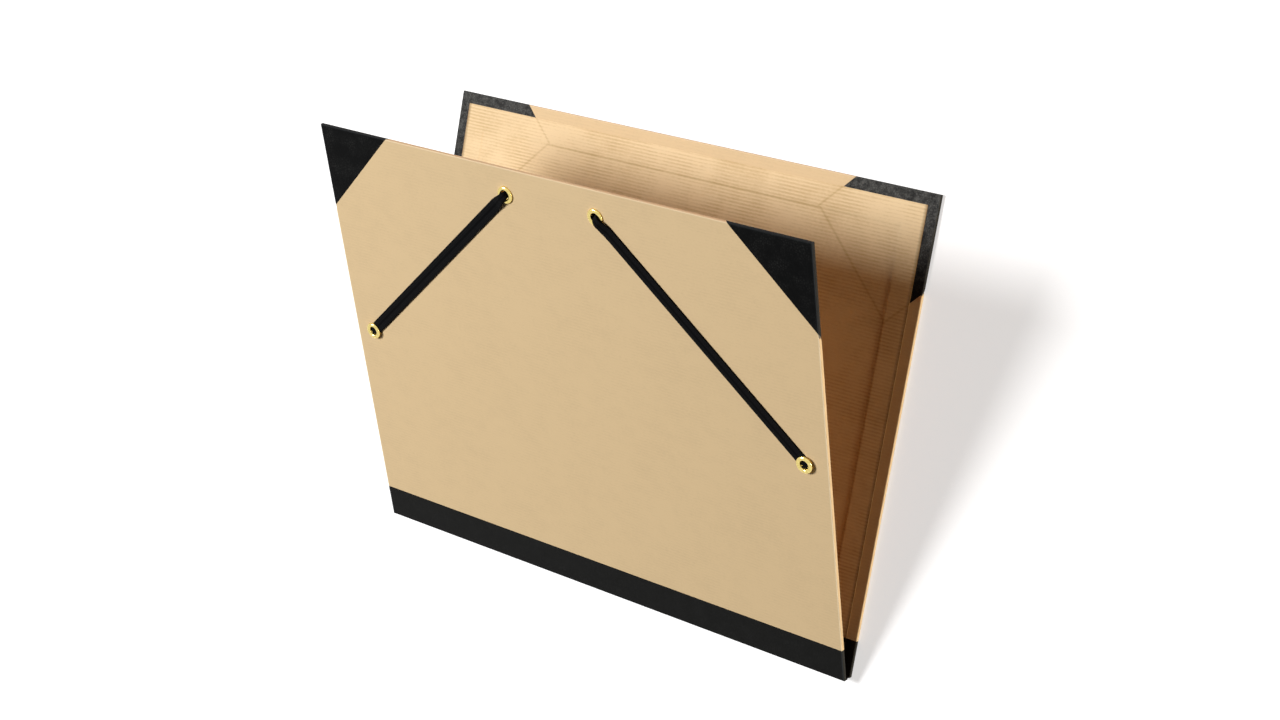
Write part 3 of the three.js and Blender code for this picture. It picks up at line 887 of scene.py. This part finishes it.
def grain_group():
    """Bookcloth: leather-like cells with fine threads, from the sheet's flat coordinates in metres.
    A fold is lightened by a painted highlight, and the turned-in cloth gets a mottled painted sheen."""
    group, get, put = new_group("cloth grain", [
        ("Sheet", "NodeSocketVector", None), ("Cloth", "NodeSocketColor", None),
        ("Crest", "NodeSocketColor", None), ("Fold", "NodeSocketFloat", 0.0),
        ("Scale", "NodeSocketFloat", 1.0), ("Painted sheen colour", "NodeSocketColor", None),
        ("Inner", "NodeSocketFloat", 0.0), ("Fold colour", "NodeSocketColor", None),
    ], FINISH_OUTPUTS)
    i, op = get.outputs, maths(group)
    scaled = group.nodes.new("ShaderNodeVectorMath")
    scaled.operation = "SCALE"
    feed(group, scaled, {0: i["Sheet"], "Scale": i["Scale"]})
    vector = scaled.outputs[0]
    cells = group.nodes.new("ShaderNodeTexVoronoi")
    cells.feature = "DISTANCE_TO_EDGE"
    cells.inputs["Scale"].default_value = 900
    warp = group.nodes.new("ShaderNodeVectorMath")
    warp.operation = "MULTIPLY_ADD"
    wander = group.nodes.new("ShaderNodeTexNoise")
    wander.inputs["Scale"].default_value = 500
    group.links.new(vector, wander.inputs["Vector"])
    feed(group, warp, {0: wander.outputs["Color"], 1: (1.2 * MM,) * 3, 2: vector})
    group.links.new(warp.outputs[0], cells.inputs["Vector"])
    pebble = ramp(group, cells.outputs["Distance"], 0.0, 0.35)
    fine = noise(group, vector, 2600, 3, 0.6)
    cloud = noise(group, vector, 120, 3, 0.6)
    light = op("MULTIPLY", pebble, ramp(group, cloud, 0.35, 0.75))
    shown = mix_colour(group, light, i["Cloth"], i["Crest"])
    # Painted highlight along the cloth's folds
    painted_fold_highlight = op("MULTIPLY", i["Fold"], op("MULTIPLY_ADD", fine, 0.9, 0.3), clamp=True)
    shown = mix_colour(group, painted_fold_highlight, shown, i["Fold colour"])
    # Painted sheen: the turned-in cloth is mixed towards a lighter grey, mottled like gloss
    mottle = ramp(group, noise(group, vector, 300, 5, 0.75), 0.36, 0.66)
    painted_sheen = op("MULTIPLY_ADD", mottle, 0.85, 0.15)
    painted_sheen = op("MULTIPLY", painted_sheen, op("MULTIPLY_ADD", pebble, 0.5, 0.5))
    painted_sheen = op("MULTIPLY", op("MULTIPLY", painted_sheen, 1.5), i["Inner"], clamp=True)
    feed(group, put, {
        "Color": mix_colour(group, painted_sheen, shown, i["Painted sheen colour"]),
        "Height": op("MULTIPLY_ADD", fine, 0.35, pebble),
        "Roughness": op("MULTIPLY_ADD", cloud, 0.25, 0.28),
    })
    return group


def shared(store, name, make):
    """What a store holds under a name, made when it isn't there yet."""
    return store.get(name) or make()


def placed_group(material, group, values):
    tree = material.node_tree
    node = tree.nodes.new("ShaderNodeGroup")
    node.node_tree = group
    feed(tree, node, values)
    return node.outputs


def new_material(name):
    material = bpy.data.materials.new(name)
    material.use_nodes = True
    return material, material.node_tree, material.node_tree.nodes["Principled BSDF"]


def sheet_coordinates(tree):
    node = tree.nodes.new("ShaderNodeUVMap")
    node.uv_map = "sheet"
    return node.outputs[0]


def attribute(tree, name):
    node = tree.nodes.new("ShaderNodeAttribute")
    node.attribute_name = name
    return node.outputs["Fac"]


def bump(tree, shader, height, strength, distance):
    node = tree.nodes.new("ShaderNodeBump")
    feed(tree, node, {"Strength": strength, "Distance": distance, "Height": height})
    tree.links.new(node.outputs[0], shader.inputs["Normal"])


def paper_material(name, paper, shade, fold_colour, rib_shade, cloud, creased=False):
    """Kraft or lining paper in its own colours with painted shade between the ribs, and with painted
    shade along the lining's creases where asked.
    """
    material, tree, shader = new_material(name)
    out = placed_group(material, shared(bpy.data.node_groups, "ribbed paper", paper_group), {
        "Sheet": sheet_coordinates(tree), "Paper": paper, "Shade": shade, "Fold colour": fold_colour,
        "Fold": attribute(tree, "fold"), "Rib pitch": cover().rib_pitch, "Rib shade": rib_shade,
        "Cloud": cloud,
    })
    if creased:
        lines = placed_group(material, crease_group(cover()), {"Sheet": sheet_coordinates(tree)})
        tree.links.new(lines["Crease"], out["Color"].node.inputs["Crease"])
    feed(tree, shader, {
        "Base Color": out["Color"], "Roughness": out["Roughness"], "Specular IOR Level": 0.25,
    })
    bump(tree, shader, out["Height"], 0.35, 0.00006)
    return material


def cloth_material(name, finish, base, scale):
    """Black bookcloth of the spine or the corners."""
    material, tree, shader = new_material(name)
    # The fold mark carries a painted highlight on the cloth's folds
    fold_share = maths(tree)("MULTIPLY", attribute(tree, "fold"), 0.9)
    out = placed_group(material, shared(bpy.data.node_groups, "cloth grain", grain_group), {
        "Sheet": sheet_coordinates(tree), "Cloth": base, "Crest": finish.cloth_light,
        # The inner mark and its lighter colour paint a sheen on the turned-in cloth
        "Fold": fold_share, "Scale": scale, "Painted sheen colour": finish.inner, "Inner": attribute(tree, "inner"),
        "Fold colour": finish.cloth_fold,
    })
    feed(tree, shader, {
        "Base Color": out["Color"], "Roughness": out["Roughness"], "Specular IOR Level": 0.025,
    })
    bump(tree, shader, out["Height"], 0.6, 0.00005)
    return material


def brass_material(finish):
    """Polished brass with faint turning marks round the bore."""
    material, tree, shader = new_material("polished brass")
    sheet = sheet_coordinates(tree)
    marks = noise(tree, sheet, 1, 2, 0.5, (400, 9000, 1))
    smudge = noise(tree, sheet, 600, 3, 0.6)
    feed(tree, shader, {
        "Base Color": mix_colour(tree, ramp(tree, smudge, 0.4, 0.8), finish.brass, (0.55, 0.40, 0.10)),
        "Roughness": maths(tree)("MULTIPLY_ADD", smudge, 0.16, 0.08),
        "Metallic": 1,
    })
    bump(tree, shader, marks, 0.12, 0.00002)
    return material


def webbing_material(finish):
    """Black braided elastic: lighter crests on the cords, threads along them."""
    material, tree, shader = new_material("black webbing")
    sheet = sheet_coordinates(tree)
    thread = noise(tree, sheet, 1, 3, 0.6, (9000, 1500, 1))
    crest = attribute(tree, "crest")
    light = maths(tree)("MULTIPLY", crest, ramp(tree, thread, 0.35, 0.7), clamp=True)
    feed(tree, shader, {
        "Base Color": mix_colour(tree, light, finish.webbing, finish.webbing_light),
        "Roughness": maths(tree)("MULTIPLY_ADD", thread, 0.2, 0.6),
        "Specular IOR Level": 0.01,
    })
    bump(tree, shader, thread, 0.5, 0.00004)
    return material


def board_material(finish):
    """Grey board: mixed pulp with flecks."""
    material, tree, shader = new_material("grey board")
    place = tree.nodes.new("ShaderNodeTexCoord").outputs["Object"]
    pulp = noise(tree, place, 700, 4, 0.65)
    fleck = ramp(tree, noise(tree, place, 1500, 2, 0.5), 0.62, 0.72)
    base = mix_colour(tree, pulp, finish.board, tuple(0.72 * v for v in finish.board))
    feed(tree, shader, {
        "Base Color": mix_colour(tree, fleck, base, (0.12, 0.10, 0.09)),
        "Roughness": maths(tree)("MULTIPLY_ADD", pulp, 0.1, 0.85),
    })
    bump(tree, shader, pulp, 0.4, 0.0001)
    return material


def finish(name):
    """A finish by its name, made at its first use and shared by the operators."""
    f = bpy.context.scene.portfolio_finish
    make = {
        "kraft paper": lambda: paper_material(
            name, f.kraft, f.kraft_dark, f.kraft_edge, rib_shade=0.24, cloud=0.45),
        "ribbed lining": lambda: paper_material(
            name, f.lining, f.lining_dark, f.lining_edge, rib_shade=0.7, cloud=1.5, creased=True),
        "black bookcloth": lambda: cloth_material(name, f, f.cloth, 1.0),
        "black corner cloth": lambda: cloth_material(name, f, f.corner, 0.8),
        "polished brass": lambda: brass_material(f),
        "black webbing": lambda: webbing_material(f),
        "grey board": lambda: board_material(f),
    }[name]
    return shared(bpy.data.materials, name, make)


# ---------------------------------------------------------------- stage


# Direction, distance, size across and up, power in watts, tint, and whether gloss shows it. The side
# and mouth lamps stand in for warm light that bounces between the covers.
LAMPS = {
    "key": ((0.57, -0.05, 0.82), 3.4, (1.15, 1.15), 138, (1.0, 1.0, 1.0), True),
    "side": ((-1.0, -0.03, 0.03), 2.0, (0.6, 0.16), 30, (1.0, 0.80, 0.56), True),
    "mouth": ((-0.25, -1.0, 0.10), 1.6, (0.9, 0.12), 6, (1.0, 0.36, 0.10), False),
}
AIM = (0, 0, 0.04)


def background_ray(tree):
    """1 for the rays that see a background: camera, glossy and transmission rays."""
    path = tree.nodes.new("ShaderNodeLightPath")
    op = maths(tree)
    seen = op("MAXIMUM", path.outputs["Is Camera Ray"], path.outputs["Is Glossy Ray"])
    return op("MAXIMUM", seen, path.outputs["Is Transmission Ray"])


def add_floor(scene):
    """A level grid that the portfolio lies on. It darkens in the portfolio's shadow, and far out,
    where the lamp doesn't reach, it turns into the white of the background. Bounced rays see only
    a dull share of its colour."""
    below, dull_share, glow, near, far_out = 0.2 * MM, 0.12, 0.62, 0.8, 3.0
    reach = np.linspace(-6, 6, 13)
    x, y = np.meshgrid(reach, reach)
    points = np.stack([x, y, np.full_like(x, -below)], -1)
    floor = grid_object("floor", points, np.stack([x, y], -1))
    material, tree, shader = new_material("pale floor")
    mottle = noise(tree, sheet_coordinates(tree), 3, 2)
    base = scene.portfolio_finish.floor
    seen = mix_colour(tree, mottle, base, tuple(0.985 * v for v in base))
    dull = mix_colour(tree, background_ray(tree), tuple(dull_share * v for v in base), seen)
    far = tree.nodes.new("ShaderNodeVectorMath")
    far.operation = "LENGTH"
    tree.links.new(sheet_coordinates(tree), far.inputs[0])
    outward = ramp(tree, far.outputs["Value"], near, far_out)
    white = maths(tree)("MULTIPLY_ADD", outward, 1 - glow, glow)
    feed(tree, shader, {
        "Base Color": dull, "Roughness": 0.9, "Specular IOR Level": 0.0, "Emission Color": (1, 1, 1),
        "Emission Strength": maths(tree)("MULTIPLY", background_ray(tree), white),
    })
    floor.data.materials.append(material)
    floor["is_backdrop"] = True


def add_world(scene):
    """White where it is seen, and a weak even light."""
    weak = 0.015
    world = bpy.data.worlds.new("studio")
    scene.world = world
    world.use_nodes = True
    tree = world.node_tree
    strength = maths(tree)("MULTIPLY_ADD", background_ray(tree), 1 - weak, weak)
    feed(tree, tree.nodes["Background"], {"Color": (1, 1, 1), "Strength": strength})


def add_lamp(name, direction, distance, size, power, tint, glossy):
    """A soft lamp that faces the portfolio's middle."""
    lamp = bpy.data.lights.new(name, "AREA")
    lamp.shape, lamp.size, lamp.size_y, lamp.energy = "ELLIPSE", *size, power
    lamp.color = tint
    obj = bpy.data.objects.new(name, lamp)
    towards = Vector(direction).normalized()
    obj.location = Vector(AIM) + distance * towards
    obj.rotation_euler = towards.to_track_quat("Z", "Y").to_euler()
    obj.visible_glossy = glossy
    bpy.context.scene.collection.objects.link(obj)


def add_camera(scene):
    """The photograph's direction relative to the covers, from fitted corners."""
    camera = bpy.data.cameras.new("camera")
    camera.sensor_width, camera.lens = 36, 62.73
    camera.shift_x = -0.00096
    obj = bpy.data.objects.new("camera", camera)
    obj.location = (-0.7180, -0.2121, 1.0100)
    obj.rotation_euler = tuple(math.radians(a) for a in (-2.5685, 36.6214, -168.1548))
    scene.collection.objects.link(obj)
    scene.camera = obj


# ---------------------------------------------------------------- operators


class PORTFOLIO_OT_kraft(bpy.types.Operator):
    """Kraft paper round both covers"""

    bl_idname = "portfolio.kraft"
    bl_label = "Kraft wraps"

    def execute(self, context):
        s = context.scene
        for prefix, (place, body, _) in COVERS.items():
            holes = eyelet_places() if prefix == "front" else []
            bottom = s.portfolio_cloth.height + s.portfolio_cover.seam
            piece = kraft_sheet(f"{prefix}_kraft_paper", s.portfolio_cover, bottom, holes)
            move(piece, place)
            thickened(piece, s.portfolio_cover.paper)
            dress(piece, body, "kraft_paper", finish("kraft paper"), f"{prefix}_kraft_wrap")
        return {"FINISHED"}


class PORTFOLIO_OT_linings(bpy.types.Operator):
    """Ribbed lining papers on the inner faces"""

    bl_idname = "portfolio.linings"
    bl_label = "Linings"

    def execute(self, context):
        s = context.scene
        for prefix, (place, body, _) in COVERS.items():
            holes = eyelet_places() if prefix == "front" else []
            piece = lining_sheet(f"{prefix}_lining_paper", s.portfolio_cover, s.portfolio_lining,
                                 s.portfolio_cloth.height, holes)
            move(piece, place)
            thickened(piece, s.portfolio_cover.paper * 0.95)
            dress(piece, body, "ribbed_lining_paper", finish("ribbed lining"), f"{prefix}_lining")
        return {"FINISHED"}


class PORTFOLIO_OT_corners(bpy.types.Operator):
    """Black cloth over the four corners"""

    bl_idname = "portfolio.corners"
    bl_label = "Cloth corners"

    def execute(self, context):
        s = context.scene
        for prefix, (place, body, left) in COVERS.items():
            for word, side in SIDES.items():
                name = f"{prefix}_{word}_corner"
                piece = corner_sheet(f"{name}_cloth", s.portfolio_cover, side * left)
                move(piece, place)
                thickened(piece, s.portfolio_cloth.thickness)
                dress(piece, body, "black_cloth", finish("black corner cloth"), name)
        return {"FINISHED"}


class PORTFOLIO_OT_spine(bpy.types.Operator):
    """Outer and inner cloth of the hinge"""

    bl_idname = "portfolio.spine"
    bl_label = "Spine cloth"

    def execute(self, context):
        s = context.scene
        c, cloth = s.portfolio_cover, s.portfolio_cloth
        outer = spine_sheet("spine_bookcloth", c, cloth)
        inner = hinge_sheet("inner_hinge_bookcloth", c, cloth, s.portfolio_lining)
        for piece, node in ((outer, "spine_cloth"), (inner, "inner_hinge_cloth")):
            thickened(piece, cloth.thickness)
            dress(piece, None, "black_cloth", finish("black bookcloth"), node)
            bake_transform(piece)
        return {"FINISHED"}


class PORTFOLIO_OT_eyelets(bpy.types.Operator):
    """Four brass eyelets"""

    bl_idname = "portfolio.eyelets"
    bl_label = "Eyelets"

    def execute(self, context):
        s = context.scene
        e = s.portfolio_eyelet
        top = s.portfolio_lining.level + 0.05 * MM
        for word, side in SIDES.items():
            for height, at, seat in (("lower", (side * e.lower_x, e.lower_y), e.lower_seat),
                                     ("upper", (side * e.upper_x, e.upper_y), e.upper_seat)):
                name = f"{height}_{word}"
                piece = eyelet(f"{name}_brass_eyelet", e, on_front, at, seat, top, height == "lower")
                dress(piece, "front_cover", "brass", finish("polished brass"), f"{name}_eyelet")
        return {"FINISHED"}


class PORTFOLIO_OT_elastic(bpy.types.Operator):
    """The braided elastic from one lower eyelet through the two upper ones to the other"""

    bl_idname = "portfolio.elastic"
    bl_label = "Elastic"

    def execute(self, context):
        s = context.scene
        e = s.portfolio_eyelet
        piece = strap("braided_elastic", e, s.portfolio_elastic)
        for side in (1, -1):
            cut_round(piece, (side * e.lower_x, e.lower_y), e.barrel + 0.05 * MM)
        dress(piece, "front_cover", "elastic_webbing", finish("black webbing"), "elastic")
        return {"FINISHED"}


class PORTFOLIO_OT_boards(bpy.types.Operator):
    """Finish of the grey boards inside the covers"""

    bl_idname = "portfolio.boards"
    bl_label = "Grey boards"

    def execute(self, context):
        for name in ("back_board", "front_board"):
            node = frame["nodes"][name]
            node.data.materials.clear()
            node.data.materials.append(finish("grey board"))
        return {"FINISHED"}


class PORTFOLIO_OT_stage(bpy.types.Operator):
    """Floor, soft light and camera"""

    bl_idname = "portfolio.stage"
    bl_label = "Stage"

    def execute(self, context):
        scene = context.scene
        add_floor(scene)
        add_world(scene)
        for name, values in LAMPS.items():
            add_lamp(name, *values)
        add_camera(scene)
        scene.view_settings.view_transform = "Standard"
        return {"FINISHED"}


class PORTFOLIO_PT_make(bpy.types.Panel):
    """Makes the portfolio's pieces"""

    bl_label = "Art portfolio"
    bl_idname = "PORTFOLIO_PT_make"
    bl_space_type = "VIEW_3D"
    bl_region_type = "UI"
    bl_category = "Portfolio"

    def draw(self, context):
        for operator in OPERATORS:
            self.layout.operator(operator.bl_idname)
        for key, group in GROUPS.items():
            box = self.layout.box()
            box.label(text=group.__doc__)
            for name in group.__annotations__:
                box.prop(getattr(context.scene, key), name)


# ---------------------------------------------------------------- register and make


GROUPS = {
    "portfolio_cover": PORTFOLIO_PG_cover,
    "portfolio_lining": PORTFOLIO_PG_lining,
    "portfolio_cloth": PORTFOLIO_PG_cloth,
    "portfolio_eyelet": PORTFOLIO_PG_eyelet,
    "portfolio_elastic": PORTFOLIO_PG_elastic,
    "portfolio_finish": PORTFOLIO_PG_finish,
}
OPERATORS = (
    PORTFOLIO_OT_stage, PORTFOLIO_OT_boards, PORTFOLIO_OT_kraft, PORTFOLIO_OT_linings,
    PORTFOLIO_OT_corners, PORTFOLIO_OT_spine, PORTFOLIO_OT_eyelets, PORTFOLIO_OT_elastic,
)


def register():
    for cls in (*GROUPS.values(), *OPERATORS, PORTFOLIO_PT_make):
        bpy.utils.register_class(cls)
    for key, group in GROUPS.items():
        setattr(bpy.types.Scene, key, bpy.props.PointerProperty(type=group))


def unregister():
    for key in GROUPS:
        delattr(bpy.types.Scene, key)
    for cls in reversed((*GROUPS.values(), *OPERATORS, PORTFOLIO_PT_make)):
        bpy.utils.unregister_class(cls)


def main():
    register()
    for operator in OPERATORS:
        group, name = operator.bl_idname.split(".")
        if getattr(getattr(bpy.ops, group), name)() != {"FINISHED"}:
            raise RuntimeError(f"{operator.bl_idname} did not finish")
    plain = lambda box: [list(corner) for corner in box]
    {"cad": plain(CAD_BOX), "visual": plain(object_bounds())}


if __name__ == "__main__":
    main()
